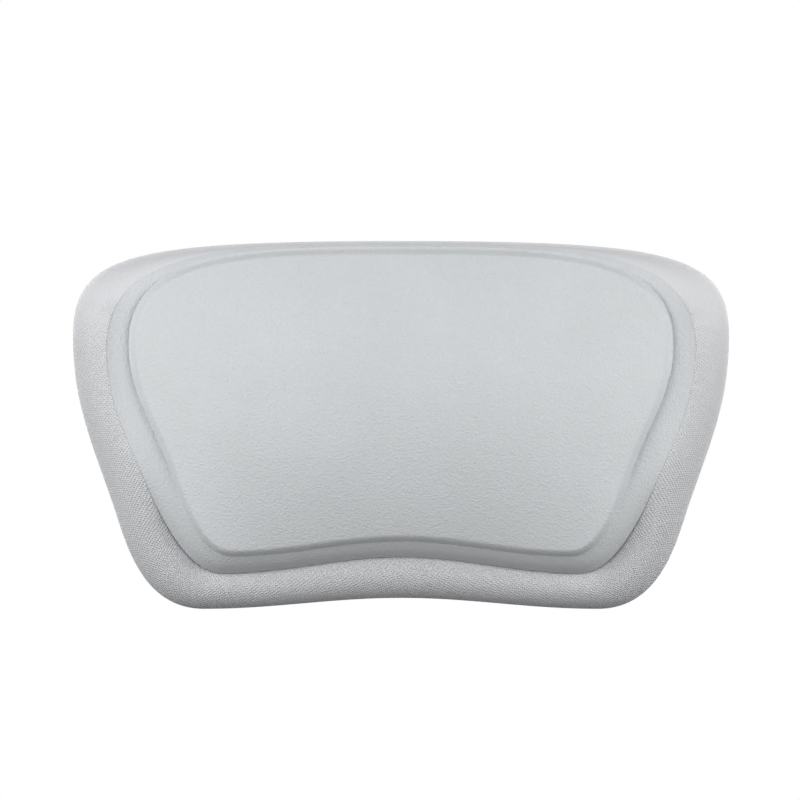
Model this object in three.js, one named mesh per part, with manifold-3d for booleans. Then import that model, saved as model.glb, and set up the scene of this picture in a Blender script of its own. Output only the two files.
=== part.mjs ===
// Bath pillow: a moulded foam head rest that four suction cups hold to the wall of a tub.
// Units are millimetres. X runs across the pillow, Z up, and the head panel faces -Y.
// The tub wall is the plane y = 0 and the origin is the middle of the four cups.
// A depth counts forward from the pillow's back plane, a height counts forward from the tub wall.

import * as THREE from 'three';
import { mergeVertices } from 'three/addons/utils/BufferGeometryUtils.js';
import Module from 'manifold-3d';

const wasm = await Module();
wasm.setup();

const CLEARANCE = 0.3;

// Body outline seen from the front: crown, widest point, flank, lower corner and neck arch
const BODY_TOP = 84;
const BODY_HALF_WIDTH = 165;
const BODY_WIDEST_Z = 36;
const BODY_FLANK_X = 145;
const BODY_FLANK_Z = -48;
const BODY_LEAN = 19;
const BODY_CORNER_X = 99;
const BODY_CORNER_Z = -101;
const BODY_ARCH = 5.5;

// Flange: how far the pad's outline is drawn in from the body's
const FLANGE_TOP = 2;
const FLANGE_SIDE = 17.5;
const FLANGE_WIDEST_DROP = 6;
const FLANGE_FLANK_X = 17.5;
const FLANGE_FLANK_Z = 10;
const FLANGE_CORNER_X = 9.5;
const FLANGE_CORNER_Z = 18;
const PAD_LEAN = 23;
const PAD_ARCH = 8.3;

// Shoulder: how far the head panel's outline is drawn in from the pad's
const SHOULDER_TOP = 2;
const SHOULDER_SIDE = 11;
const SHOULDER_WIDEST_RISE = 3;
const SHOULDER_FLANK_X = 11.3;
const SHOULDER_FLANK_Z = 8;
const SHOULDER_CORNER_X = 5;
const SHOULDER_CORNER_Z = 8.6;
const PANEL_LEAN = 20;
const PANEL_ARCH = 7.5;

// Pad form
const BACK_ROUND = 3;
const NECK_CREASE_LEAD = 4.4;
const PANEL_RISE = 18.5;
const DOME_RISE = 20;
const DOME_HALF_WIDTH = 146;
const DOME_TAPER = 0.33;
const STEP_HEIGHT = 4.5;
const STEP_WIDTH = 3.2;
const FLANK_RISE = 2.5;
const NECK_TOP = -20;
const NECK_BAND = 56;
const SHOULDER_POWER = 1.25;
const FLANGE_SWEEP = 82;
const NECK_SWEEP = 118;
const COVER_WALL = 2;
const RIM_WIDTH = 9;
const RIM_THICKNESS = 1.8;

// Board, plate and screws
const BOARD_THICKNESS = 2.5;
const PLATE_THICKNESS = 3;
const PLATE_INSET = 22;
const FLOOR_WEB = 2.5;
const SCREW_INSET = 9;
const SCREW_LENGTH = 14;
const SCREW_RADIUS = 1.75;
const SCREW_HEAD_RADIUS = 3.5;
const SCREW_HEAD_HEIGHT = 1.9;
const BOSS_WALL = 2.5;

// Suction cups on keyhole studs
const CUP_ROW = 26;
const CUP_UPPER_INSET = 33.5;
const CUP_LOWER_INSET = 14.5;
const CUP_RADIUS = 22;
const CUP_HEIGHT = 9;
const CUP_LIP = 2;
const CUP_EDGE = 0.9;
const CUP_DISH = 2.8;
const CUP_WEB = 1.4;
const CUP_BOSS_WALL = 4;
const TAB_LENGTH = 9;
const TAB_WIDTH = 10;
const STUD_SHANK_RADIUS = 2.5;
const STUD_BARB = 0.7;
const STUD_COLLAR = 1.5;
const STUD_COLLAR_RADIUS = 5.5;
const NECK_RADIUS = 3.75;
const HEAD_RADIUS = 7;
const HEAD_THICKNESS = 2.5;
const KEYHOLE_TRAVEL = 12;
const CAP_WALL = 1.5;
const CAP_FLANGE = 3;

// Layers from the back plane forward, each resting on the one before
const headDepth = PLATE_THICKNESS + CLEARANCE;
const capRoof = headDepth + HEAD_THICKNESS + CLEARANCE;
const capFront = capRoof + CAP_WALL;
const floorDepth = capFront + CLEARANCE + FLOOR_WEB;
const rimBack = floorDepth + CLEARANCE;
const rimFront = rimBack + RIM_THICKNESS;
const boardBack = rimFront + CLEARANCE;
const boardFront = boardBack + BOARD_THICKNESS;
const coreBack = boardFront + CLEARANCE;
const neckCrease = coreBack + NECK_CREASE_LEAD;
const panelEdge = neckCrease + PANEL_RISE;
const crownDepth = panelEdge + DOME_RISE;
const standoff = CUP_HEIGHT + CLEARANCE + STUD_COLLAR + CLEARANCE;

const bossRadius = SCREW_RADIUS + CLEARANCE + BOSS_WALL;
const entryRadius = HEAD_RADIUS + 2 * CLEARANCE;
const slotRadius = NECK_RADIUS + CLEARANCE;

// Points along each of the four spans of half an outline
const SPAN_STEPS = [14, 4, 8, 6];
const SCREW_STATIONS = [4, 16, 30];

// Closed outline as x and z pairs, clockwise from the crown, its left half mirrored from four cubic spans
function outline({ top, halfWidth, widestZ, flank, lean, corner, arch, pulls }) {
  const [crownPull, sidePull, flankPull, cornerPull] = pulls;
  const up = new THREE.Vector2(0, 1).rotateAround(new THREE.Vector2(), -THREE.MathUtils.degToRad(lean));
  const crown = new THREE.Vector2(0, top);
  const widest = new THREE.Vector2(halfWidth, widestZ);
  const neck = new THREE.Vector2(0, corner.y + arch);
  const flankReach = 0.38 * widest.distanceTo(flank);
  const cornerReach = flank.distanceTo(corner);
  const archReach = 0.36 * corner.x;
  const spans = [
    new THREE.CubicBezierCurve(
      crown,
      new THREE.Vector2(crownPull * halfWidth, top),
      new THREE.Vector2(halfWidth, widestZ + sidePull * (top - widestZ)),
      widest,
    ),
    new THREE.CubicBezierCurve(
      widest,
      new THREE.Vector2(halfWidth, widestZ - flankReach),
      flank.clone().addScaledVector(up, flankReach),
      flank,
    ),
    new THREE.CubicBezierCurve(
      flank,
      flank.clone().addScaledVector(up, -flankPull * cornerReach),
      new THREE.Vector2(corner.x + cornerPull * cornerReach, corner.y),
      corner,
    ),
    new THREE.CubicBezierCurve(
      corner,
      new THREE.Vector2(corner.x - archReach, corner.y),
      new THREE.Vector2(archReach, neck.y),
      neck,
    ),
  ];
  const right = spans.flatMap((span, i) => span.getSpacedPoints(SPAN_STEPS[i]).slice(0, -1));
  const left = right.slice(1).reverse().map((p) => new THREE.Vector2(-p.x, p.y));
  return [...right, neck, ...left];
}

// The same outline moved inward along its normals, or outward for a negative distance
function inset(points, distance) {
  return points.map((p, i) => {
    const before = points.at(i - 1);
    const after = points[(i + 1) % points.length];
    const along = after.clone().sub(before).normalize();
    return new THREE.Vector2(p.x + along.y * distance, p.y - along.x * distance);
  });
}

// The outline that lies a given share of the way from one outline to another, point by point
function between(from, to, share) {
  return from.map((p, i) => p.clone().lerp(to[i], share));
}

// Outline lifted to a depth, which is one number or a function of the point and its place in the outline
function ring(points, depth) {
  const depthAt = depth instanceof Function ? depth : () => depth;
  return points.map((p, i) => new THREE.Vector3(p.x, -depthAt(p, i), p.y));
}

// Closed skin over a row of rings from a pole facing the wall to a pole facing the bather.
// Each four-sided patch is split along its shorter diagonal, so that stacked skins fold alike.
function skinOver(rings, backPole, frontPole) {
  const count = rings[0].length;
  const vertices = [...rings.flat(), backPole, frontPole];
  const back = vertices.length - 2;
  const front = vertices.length - 1;
  const last = (rings.length - 1) * count;
  const faces = [];
  for (let j = 0; j < count; j += 1) {
    const next = (j + 1) % count;
    faces.push(back, j, next, front, last + next, last + j);
    for (let base = 0; base < last; base += count) {
      const [a, b, c, d] = [base + j, base + next, base + count + next, base + count + j];
      const straight = vertices[a].distanceTo(vertices[c]) < vertices[b].distanceTo(vertices[d]);
      faces.push(...(straight ? [a, d, c, a, c, b] : [a, d, b, b, d, c]));
    }
  }
  const geometry = new THREE.BufferGeometry().setFromPoints(vertices);
  geometry.setIndex(faces);
  return geometry;
}

// Flat slab of a shape between two depths
function slab(shape, from, to, curveSegments = 6) {
  const geometry = new THREE.ExtrudeGeometry(shape, { depth: to - from, bevelEnabled: false, curveSegments });
  return geometry.rotateX(Math.PI / 2).translate(0, -from, 0);
}

// Body turned about the depth axis from radius and depth pairs
function turned(profile, segments) {
  return new THREE.LatheGeometry(profile.map(([r, depth]) => new THREE.Vector2(r, -depth)), segments);
}

// Two round ends joined by straight sides, the upper end on the origin
function obround(radius) {
  const shape = new THREE.Shape();
  shape.absarc(0, 0, radius, 0, Math.PI, false);
  shape.absarc(0, -KEYHOLE_TRAVEL, radius, Math.PI, 2 * Math.PI, false);
  return shape;
}

// Keyhole with its narrow seat on the origin and its round entry below
function keyhole() {
  const opening = Math.asin(slotRadius / entryRadius);
  const shape = new THREE.Shape();
  shape.absarc(0, 0, slotRadius, 0, Math.PI, false);
  shape.absarc(0, -KEYHOLE_TRAVEL, entryRadius, Math.PI / 2 + opening, 2.5 * Math.PI - opening, false);
  return shape;
}

function solidOf(geometry) {
  const bare = new THREE.BufferGeometry();
  bare.setAttribute('position', geometry.getAttribute('position'));
  bare.setIndex(geometry.index);
  const welded = mergeVertices(bare, 1e-4);
  const corners = welded.index.array;
  const faces = [];
  for (let i = 0; i < corners.length; i += 3) {
    const [a, b, c] = corners.slice(i, i + 3);
    if (a !== b && b !== c && c !== a) faces.push(a, b, c);
  }
  return new wasm.Manifold(new wasm.Mesh({
    numProp: 3,
    vertProperties: welded.getAttribute('position').array,
    triVerts: new Uint32Array(faces),
  }));
}

function geometryOf(solid) {
  const mesh = solid.getMesh();
  const geometry = new THREE.BufferGeometry();
  geometry.setAttribute('position', new THREE.BufferAttribute(mesh.vertProperties, 3));
  geometry.setIndex(new THREE.BufferAttribute(mesh.triVerts, 1));
  geometry.computeVertexNormals();
  return geometry;
}

function cut(body, tools) {
  return solidOf(body).subtract(wasm.Manifold.union(tools.map(solidOf)));
}

const bodyOutline = outline({
  top: BODY_TOP,
  halfWidth: BODY_HALF_WIDTH,
  widestZ: BODY_WIDEST_Z,
  flank: new THREE.Vector2(BODY_FLANK_X, BODY_FLANK_Z),
  lean: BODY_LEAN,
  corner: new THREE.Vector2(BODY_CORNER_X, BODY_CORNER_Z),
  arch: BODY_ARCH,
  pulls: [0.84, 0.86, 0.27, 0.46],
});

const padFlank = new THREE.Vector2(BODY_FLANK_X - FLANGE_FLANK_X, BODY_FLANK_Z + FLANGE_FLANK_Z);
const padCorner = new THREE.Vector2(BODY_CORNER_X - FLANGE_CORNER_X, BODY_CORNER_Z + FLANGE_CORNER_Z);
const padOutline = outline({
  top: BODY_TOP - FLANGE_TOP,
  halfWidth: BODY_HALF_WIDTH - FLANGE_SIDE,
  widestZ: BODY_WIDEST_Z - FLANGE_WIDEST_DROP,
  flank: padFlank,
  lean: PAD_LEAN,
  corner: padCorner,
  arch: PAD_ARCH,
  pulls: [0.55, 1, 0.32, 0.3],
});

const panelOutline = outline({
  top: BODY_TOP - FLANGE_TOP - SHOULDER_TOP,
  halfWidth: BODY_HALF_WIDTH - FLANGE_SIDE - SHOULDER_SIDE,
  widestZ: BODY_WIDEST_Z - FLANGE_WIDEST_DROP + SHOULDER_WIDEST_RISE,
  flank: new THREE.Vector2(padFlank.x - SHOULDER_FLANK_X, padFlank.y + SHOULDER_FLANK_Z),
  lean: PANEL_LEAN,
  corner: new THREE.Vector2(padCorner.x - SHOULDER_CORNER_X, padCorner.y + SHOULDER_CORNER_Z),
  arch: PANEL_ARCH,
  pulls: [0.53, 1, 0.25, 0.34],
});

const plateHalfWidth = BODY_HALF_WIDTH - FLANGE_SIDE - PLATE_INSET;
const plateCorner = new THREE.Vector2(padCorner.x - 0.5 * PLATE_INSET, padCorner.y + PLATE_INSET);
const plateOutline = outline({
  top: BODY_TOP - FLANGE_TOP - PLATE_INSET,
  halfWidth: plateHalfWidth,
  widestZ: BODY_WIDEST_Z - FLANGE_WIDEST_DROP - 0.3 * PLATE_INSET,
  flank: new THREE.Vector2(padFlank.x - PLATE_INSET, padFlank.y + 0.4 * PLATE_INSET),
  lean: PAD_LEAN,
  corner: plateCorner,
  arch: PAD_ARCH,
  pulls: [0.7, 0.9, 0.3, 0.45],
});

const screwRing = inset(plateOutline, SCREW_INSET);
const screwSpots = SCREW_STATIONS.flatMap((station) => [screwRing[station], screwRing.at(-station)]);

const cupUpperX = plateHalfWidth - CUP_UPPER_INSET;
const cupLowerX = plateCorner.x - CUP_LOWER_INSET;
const cupSpots = {
  upper_left: new THREE.Vector2(-cupUpperX, CUP_ROW),
  upper_right: new THREE.Vector2(cupUpperX, CUP_ROW),
  lower_left: new THREE.Vector2(-cupLowerX, -CUP_ROW),
  lower_right: new THREE.Vector2(cupLowerX, -CUP_ROW),
};

// Head panel: a dome, highest in the middle, that comes down to one depth at the top and the neck
const panelTop = BODY_TOP - FLANGE_TOP - SHOULDER_TOP;
const panelCornerZ = padCorner.y + SHOULDER_CORNER_Z;
const panelNeck = panelCornerZ + PANEL_ARCH;
const neckBend = PANEL_ARCH / (padCorner.x - SHOULDER_CORNER_X) ** 2;
const crownZ = 0.5 * (panelTop + panelNeck);

function panelDepth({ x, y: z }) {
  const neckZ = panelNeck - neckBend * x ** 2;
  const v = (2 * z - panelTop - neckZ) / (panelTop - neckZ);
  const u = Math.abs(x) / (DOME_HALF_WIDTH + DOME_TAPER * z);
  return panelEdge + DOME_RISE * (1 - v ** 2) * (1 - u ** 3);
}

// Share of the neck at each place in the pad's outline: 0 along flanks and top, 1 along the lower edge
const neckShares = padOutline.map((p) => THREE.MathUtils.smoothstep(NECK_TOP - p.y, 0, NECK_BAND));

// Crease between flange and shoulder: just under the shoulder at the flanks, well under it at the neck
const neckRise = panelEdge - STEP_HEIGHT - neckCrease;
const creaseDepths = panelOutline.map((p, i) =>
  panelDepth(p) - STEP_HEIGHT - THREE.MathUtils.lerp(FLANK_RISE, neckRise, neckShares[i]));

// Front of the pad, a given distance under its skin: shoulder, step, head panel and the pole that closes it
function padFront(skin, shoulderShares, panelShares) {
  const crease = inset(padOutline, skin);
  const ledge = inset(panelOutline, skin);
  const edge = inset(panelOutline, skin + STEP_WIDTH);
  const centre = new THREE.Vector2(0, crownZ);
  const ledgeDepths = ledge.map((p) => panelDepth(p) - STEP_HEIGHT - skin);
  const shoulder = shoulderShares.map((share) => {
    const rise = 1 - (1 - share) ** SHOULDER_POWER;
    const points = between(crease, ledge, share);
    return ring(points, (p, i) => THREE.MathUtils.lerp(creaseDepths[i], ledgeDepths[i], rise));
  });
  const head = panelShares.map((share) => {
    const points = between(edge, edge.map(() => centre), share);
    return ring(points, (p) => panelDepth(p) - skin);
  });
  const pole = new THREE.Vector3(0, -(crownDepth - skin), crownZ);
  return { rings: [...shoulder, ...head], pole };
}

// Flange: part of an ellipse, upright at the body's edge, that rolls over into the crease at the neck
const flangeSweeps = neckShares.map((neck) =>
  THREE.MathUtils.degToRad(THREE.MathUtils.lerp(FLANGE_SWEEP, NECK_SWEEP, neck)));

function flangeRing(seat, share) {
  const points = bodyOutline.map((p, i) => {
    const across = (1 - Math.cos(share * flangeSweeps[i])) / (1 - Math.cos(flangeSweeps[i]));
    return p.clone().lerp(seat[i], across);
  });
  return ring(points, (p, i) => {
    const climb = Math.sin(share * flangeSweeps[i]) / Math.sin(flangeSweeps[i]);
    return BACK_ROUND + (creaseDepths[i] - BACK_ROUND) * climb;
  });
}

function makeBase() {
  const seat = inset(padOutline, -CLEARANCE);
  const flange = [0, 0.2, 0.4, 0.6, 0.8, 1].map((share) => flangeRing(seat, share));
  const rings = [
    ring(inset(bodyOutline, BACK_ROUND), 0),
    ring(inset(bodyOutline, 0.3 * BACK_ROUND), 0.3 * BACK_ROUND),
    ...flange,
    ring(seat, floorDepth),
  ];
  const body = skinOver(rings, new THREE.Vector3(), new THREE.Vector3(0, -floorDepth, 0));

  const recess = slab(new THREE.Shape(inset(plateOutline, -CLEARANCE)), -1, PLATE_THICKNESS + CLEARANCE);
  const pockets = Object.values(cupSpots).map((spot) => {
    const shape = obround(entryRadius + CAP_WALL + CAP_FLANGE + CLEARANCE);
    return slab(shape, 0, capFront + CLEARANCE).translate(spot.x, 0, spot.y);
  });
  const holes = screwSpots.map((spot) => {
    const radius = bossRadius + CLEARANCE;
    const profile = [[0, floorDepth + 1], [radius, floorDepth + 1], [radius, 0], [0, 0]];
    return turned(profile, 20).translate(spot.x, 0, spot.y);
  });
  return cut(body, [recess, ...pockets, ...holes]);
}

function makeCover() {
  const outer = padFront(0, [0, 0.3, 0.65, 1], [0, 0.15, 0.42, 0.72]);
  const inner = padFront(COVER_WALL, [0, 0.5, 1], [0, 0.32, 0.7]);
  const rings = [
    ...inner.rings.reverse(),
    ring(inset(padOutline, COVER_WALL), rimFront),
    ring(inset(padOutline, RIM_WIDTH), rimFront),
    ring(inset(padOutline, RIM_WIDTH), rimBack),
    ring(padOutline, rimBack),
    ...outer.rings,
  ];
  return solidOf(skinOver(rings, inner.pole, outer.pole));
}

function makeCore() {
  const skin = COVER_WALL + CLEARANCE;
  const front = padFront(skin, [0, 0.5, 1], [0, 0.32, 0.7]);
  const rings = [ring(inset(padOutline, skin), coreBack), ...front.rings];
  return solidOf(skinOver(rings, new THREE.Vector3(0, -coreBack, 0), front.pole));
}

function makeBoard() {
  const board = slab(new THREE.Shape(inset(padOutline, COVER_WALL + CLEARANCE)), boardBack, boardFront);
  const bossBack = PLATE_THICKNESS + CLEARANCE;
  const bosses = screwSpots.map((spot) => {
    const profile = [[0, boardFront], [bossRadius, boardFront], [bossRadius, bossBack], [0, bossBack]];
    return solidOf(turned(profile, 20).translate(spot.x, 0, spot.y));
  });
  const pilots = screwSpots.map((spot) => {
    const radius = SCREW_RADIUS + CLEARANCE;
    const end = Math.min(SCREW_LENGTH + CLEARANCE, boardFront - 1);
    const profile = [[0, end], [radius, end], [radius, 0], [0, 0]];
    return solidOf(turned(profile, 16).translate(spot.x, 0, spot.y));
  });
  const bossed = wasm.Manifold.union([solidOf(board), ...bosses]);
  return bossed.subtract(wasm.Manifold.union(pilots));
}

function makePlate() {
  const plate = slab(new THREE.Shape(plateOutline), 0, PLATE_THICKNESS);
  const keyholes = Object.values(cupSpots).map((spot) =>
    slab(keyhole(), -1, PLATE_THICKNESS + 1).translate(spot.x, 0, spot.y));
  const sinks = screwSpots.map((spot) => {
    const bore = SCREW_RADIUS + CLEARANCE;
    const mouth = SCREW_HEAD_RADIUS + CLEARANCE;
    const profile = [
      [0, PLATE_THICKNESS + 1],
      [bore, PLATE_THICKNESS + 1],
      [bore, SCREW_HEAD_HEIGHT + CLEARANCE],
      [mouth, CLEARANCE],
      [mouth, -1],
      [0, -1],
    ];
    return turned(profile, 16).translate(spot.x, 0, spot.y);
  });
  return cut(plate, [...keyholes, ...sinks]);
}

function makeCap() {
  const flange = solidOf(slab(obround(entryRadius + CAP_WALL + CAP_FLANGE), headDepth, headDepth + CAP_WALL));
  const tray = solidOf(slab(obround(entryRadius + CAP_WALL), headDepth, capFront));
  const hollow = solidOf(slab(obround(entryRadius), headDepth - 1, capRoof));
  return tray.add(flange).subtract(hollow);
}

function makeScrew() {
  const tip = SCREW_LENGTH - 2 * SCREW_RADIUS;
  const profile = [
    [0, SCREW_LENGTH],
    [SCREW_RADIUS * 0.4, SCREW_LENGTH - 0.6],
    [SCREW_RADIUS, tip],
    [SCREW_RADIUS, SCREW_HEAD_HEIGHT + CLEARANCE],
    [SCREW_HEAD_RADIUS, CLEARANCE * 2],
    [SCREW_HEAD_RADIUS, CLEARANCE],
    [0, CLEARANCE],
  ];
  return solidOf(turned(profile, 16));
}

// Heights of the joint between cup and stud, from the tub wall forward
const socketFloor = CUP_DISH + CUP_WEB;
const barbTip = socketFloor + CLEARANCE;
const throat = THREE.MathUtils.lerp(socketFloor, CUP_HEIGHT, 0.52);

function makeStud() {
  const barbRadius = STUD_SHANK_RADIUS + STUD_BARB;
  const collarBack = CUP_HEIGHT + CLEARANCE;
  const headBack = standoff + headDepth;
  const headFront = headBack + HEAD_THICKNESS;
  const profile = [
    [0, headFront],
    [HEAD_RADIUS - 1.2, headFront],
    [HEAD_RADIUS, headFront - 0.8],
    [HEAD_RADIUS, headBack],
    [NECK_RADIUS, headBack],
    [NECK_RADIUS, collarBack + STUD_COLLAR],
    [STUD_COLLAR_RADIUS, collarBack + STUD_COLLAR],
    [STUD_COLLAR_RADIUS, collarBack],
    [STUD_SHANK_RADIUS, collarBack],
    [STUD_SHANK_RADIUS, throat - CLEARANCE],
    [barbRadius, throat - CLEARANCE],
    [STUD_SHANK_RADIUS * 0.6, barbTip],
    [0, barbTip],
  ];
  return solidOf(turned(profile, 20));
}

function makeCup() {
  const bore = STUD_SHANK_RADIUS + CLEARANCE;
  const chamber = bore + STUD_BARB;
  const boss = chamber + CUP_BOSS_WALL;
  const lip = CUP_RADIUS - CUP_LIP;
  const dome = new THREE.CubicBezierCurve(
    new THREE.Vector2(boss, CUP_HEIGHT - 2.4),
    new THREE.Vector2(boss + 0.6, socketFloor),
    new THREE.Vector2(0.72 * CUP_RADIUS, socketFloor - 0.4),
    new THREE.Vector2(CUP_RADIUS, CUP_EDGE),
  );
  const dish = new THREE.CubicBezierCurve(
    new THREE.Vector2(lip, 0),
    new THREE.Vector2(0.8 * lip, 0.6 * CUP_DISH),
    new THREE.Vector2(0.45 * lip, CUP_DISH),
    new THREE.Vector2(0, CUP_DISH),
  );
  const profile = [
    [0, socketFloor],
    [chamber, socketFloor],
    [chamber, throat],
    [bore, throat],
    [bore, CUP_HEIGHT],
    [boss - 0.8, CUP_HEIGHT],
    [boss, CUP_HEIGHT - 0.8],
    ...dome.getSpacedPoints(4).map((p) => [p.x, p.y]),
    [CUP_RADIUS, 0],
    ...dish.getSpacedPoints(4).map((p) => [p.x, p.y]),
  ];
  const tongue = new THREE.Shape();
  const reach = CUP_RADIUS + TAB_LENGTH - TAB_WIDTH / 2;
  tongue.absarc(0, -reach, TAB_WIDTH / 2, Math.PI, 2 * Math.PI, false);
  tongue.lineTo(TAB_WIDTH / 2, -lip);
  tongue.lineTo(-TAB_WIDTH / 2, -lip);
  const tab = slab(tongue, 0.25 * CUP_EDGE, CUP_EDGE);
  return solidOf(turned(profile, 24)).add(solidOf(tab));
}

const grainedFoam = new THREE.MeshStandardMaterial({ color: 0xc6c7cc, roughness: 0.7 });
const smoothSkin = new THREE.MeshStandardMaterial({ color: 0xccd1d2, roughness: 0.6 });
const softFoam = new THREE.MeshStandardMaterial({ color: 0xe9e4d2, roughness: 0.95 });
const board = new THREE.MeshStandardMaterial({ color: 0x55595c, roughness: 0.6 });
const plastic = new THREE.MeshStandardMaterial({ color: 0xd8dadb, roughness: 0.45 });
const acetal = new THREE.MeshStandardMaterial({ color: 0xf0f0ec, roughness: 0.35 });
const vinyl = new THREE.MeshStandardMaterial({ color: 0xdfe8ea, roughness: 0.15 });
const steel = new THREE.MeshStandardMaterial({ color: 0xb9bcbf, metalness: 1, roughness: 0.3 });

function piece(name, solid, material) {
  const mesh = new THREE.Mesh(geometryOf(solid), material);
  mesh.name = name;
  return mesh;
}

const pillow = new THREE.Group();
pillow.name = 'pillow';
pillow.position.y = -standoff;
pillow.add(piece('base_flange', makeBase(), grainedFoam));
pillow.add(piece('pad_cover', makeCover(), smoothSkin));
pillow.add(piece('pad_core', makeCore(), softFoam));
pillow.add(piece('core_board', makeBoard(), board));
pillow.add(piece('carrier_plate', makePlate(), plastic));

screwSpots.forEach((spot, i) => {
  const screw = piece(`plate_screw_${i + 1}`, makeScrew(), steel);
  screw.position.set(spot.x, 0, spot.y);
  pillow.add(screw);
});

const part = new THREE.Group();
part.name = 'bath_pillow';
part.add(pillow);

for (const [place, spot] of Object.entries(cupSpots)) {
  const cap = piece(`socket_cap_${place}`, makeCap(), board);
  cap.position.set(spot.x, 0, spot.y);
  pillow.add(cap);
  const anchor = new THREE.Group();
  anchor.name = `anchor_${place}`;
  anchor.position.set(spot.x, 0, spot.y);
  anchor.add(piece(`cup_stud_${place}`, makeStud(), acetal));
  anchor.add(piece(`suction_cup_${place}`, makeCup(), vinyl));
  part.add(anchor);
}

export default part;
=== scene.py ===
# %% [markdown]
# # A bath pillow, from fixed solids to a finished look
#
# A bath pillow is a head rest of moulded foam that suction cups hold to the wall of a tub. Its solids
# come packed in metres, with the wall as the plane y = 0, and they never move here. This lesson dresses
# them: foam, cups, studs and screws are worked out again as fine surfaces with numpy, and the plate, the
# board and the caps get a material. The foam is cast in a mould and not sewn, so its shape comes from
# formulas and no cloth is simulated.

# %% Load the frame
import math

import bpy
import numpy as np
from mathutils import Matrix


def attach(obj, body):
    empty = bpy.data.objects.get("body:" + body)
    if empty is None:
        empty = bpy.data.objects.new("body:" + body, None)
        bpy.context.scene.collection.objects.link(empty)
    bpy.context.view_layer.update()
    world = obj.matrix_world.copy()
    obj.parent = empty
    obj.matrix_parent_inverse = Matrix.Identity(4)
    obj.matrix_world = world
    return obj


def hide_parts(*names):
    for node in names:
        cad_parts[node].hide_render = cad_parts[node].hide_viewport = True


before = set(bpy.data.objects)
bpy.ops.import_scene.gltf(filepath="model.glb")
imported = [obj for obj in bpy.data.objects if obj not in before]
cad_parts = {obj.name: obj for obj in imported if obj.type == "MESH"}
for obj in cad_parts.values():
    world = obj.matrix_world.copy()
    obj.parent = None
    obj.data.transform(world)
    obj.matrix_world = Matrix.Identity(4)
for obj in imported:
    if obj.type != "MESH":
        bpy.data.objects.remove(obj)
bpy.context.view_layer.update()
scene = bpy.context.scene

# %% [markdown]
# ## The sizes of the moulding
#
# The pillow is drawn in millimetres from its back plane forward, as its maker would, and turned into
# metres when a mesh is made. All layers stack up from the back: plate, heads of the studs, caps, floor of
# the base, rim of the cover, board and foam, with a small clearance between them. The cups and the
# collars of the studs hold the back plane off the wall.

# %% Sizes
MM = 0.001
GAP = 0.3
PLATE, STUD_HEAD_HEIGHT, CAP_WALL, FLOOR_WALL = 3.0, 2.5, 1.5, 2.5
COVER_WALL, COVER_RIM, BOARD = 2.0, 1.8, 2.5
NECK_SEAT, PANEL_RISE, DOME_RISE, CROWN_Z = 4.4, 18.5, 20.0, 6.55
CUP_HEIGHT, COLLAR_HEIGHT = 9.0, 1.5

HEAD_BACK = PLATE + GAP
CAP_FRONT = HEAD_BACK + STUD_HEAD_HEIGHT + GAP + CAP_WALL
FLOOR = CAP_FRONT + GAP + FLOOR_WALL
RIM_BACK = FLOOR + GAP
RIM_FRONT = RIM_BACK + COVER_RIM
CORE_BACK = RIM_FRONT + GAP + BOARD + GAP
NECK_CREASE = CORE_BACK + NECK_SEAT
PANEL_EDGE = NECK_CREASE + PANEL_RISE
CROWN = PANEL_EDGE + DOME_RISE
STANDOFF = CUP_HEIGHT + GAP + COLLAR_HEIGHT + GAP
CUPS = {"upper_left": (-92.0, 26.0), "upper_right": (92.0, 26.0),
        "lower_left": (-64.0, -26.0), "lower_right": (64.0, -26.0)}
print("pillow depth in mm:", round(CROWN, 2), "cup standoff:", round(STANDOFF, 2))

# %% [markdown]
# ## Outlines
#
# Seen from the front the pillow shows three nested outlines: the body's edge, the crease where the pad
# rises out of the flange, and the step round the head panel. Each could be a spline through many points.
# Four cubic curves for the right half, mirrored to the left, need only a few sizes and have no bumps: the
# crown and its corner, the flank, the lower corner, and the arch for the neck. The plate at the back has
# a fourth outline of that kind.

# %% Curves
CURVE_POINTS = 801


def cubic(p0, p1, p2, p3, t):
    """Cubic curve: four points weighted by (1 - t)^3, 3 (1 - t)^2 t, 3 (1 - t) t^2 and t^3."""
    t = t[:, None]
    return (1 - t) ** 3 * p0 + 3 * (1 - t) ** 2 * t * p1 + 3 * (1 - t) * t ** 2 * p2 + t ** 3 * p3


def lengths_along(points):
    """Length of a chain of points from its start to each point, as a running sum of distances."""
    return np.r_[0.0, np.cumsum(np.linalg.norm(np.diff(points, axis=0), axis=1))]


def at_lengths(points, length, places):
    """Points of a chain at given lengths from its start, straight between its own points."""
    return np.stack([np.interp(places, length, points[:, k]) for k in (0, 1)], axis=1)


def span(p0, p1, p2, p3, steps):
    """A cubic curve in steps of equal length, without its last point."""
    curve = cubic(p0, p1, p2, p3, np.linspace(0.0, 1.0, CURVE_POINTS))
    length = lengths_along(curve)
    return at_lengths(curve, length, np.linspace(0.0, length[-1], steps + 1)[:-1])


def drawn_in(points, distance):
    """The outline moved inward along its normals, each normal taken across the two neighbouring points."""
    along = np.roll(points, -1, axis=0) - np.roll(points, 1, axis=0)
    along = along / np.linalg.norm(along, axis=1, keepdims=True)
    return points + np.reshape(distance, (-1, 1)) * np.stack([along[:, 1], -along[:, 0]], axis=1)


print("points on a curve before it is divided evenly:", CURVE_POINTS)

# %% [markdown]
# An outline is given by its top, its half width and the height of that, a point and a lean on the flank,
# the lower corner, and the height of the neck's arch. The pulls say how far each curve keeps its
# direction, as shares of the curve's own size.

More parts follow.
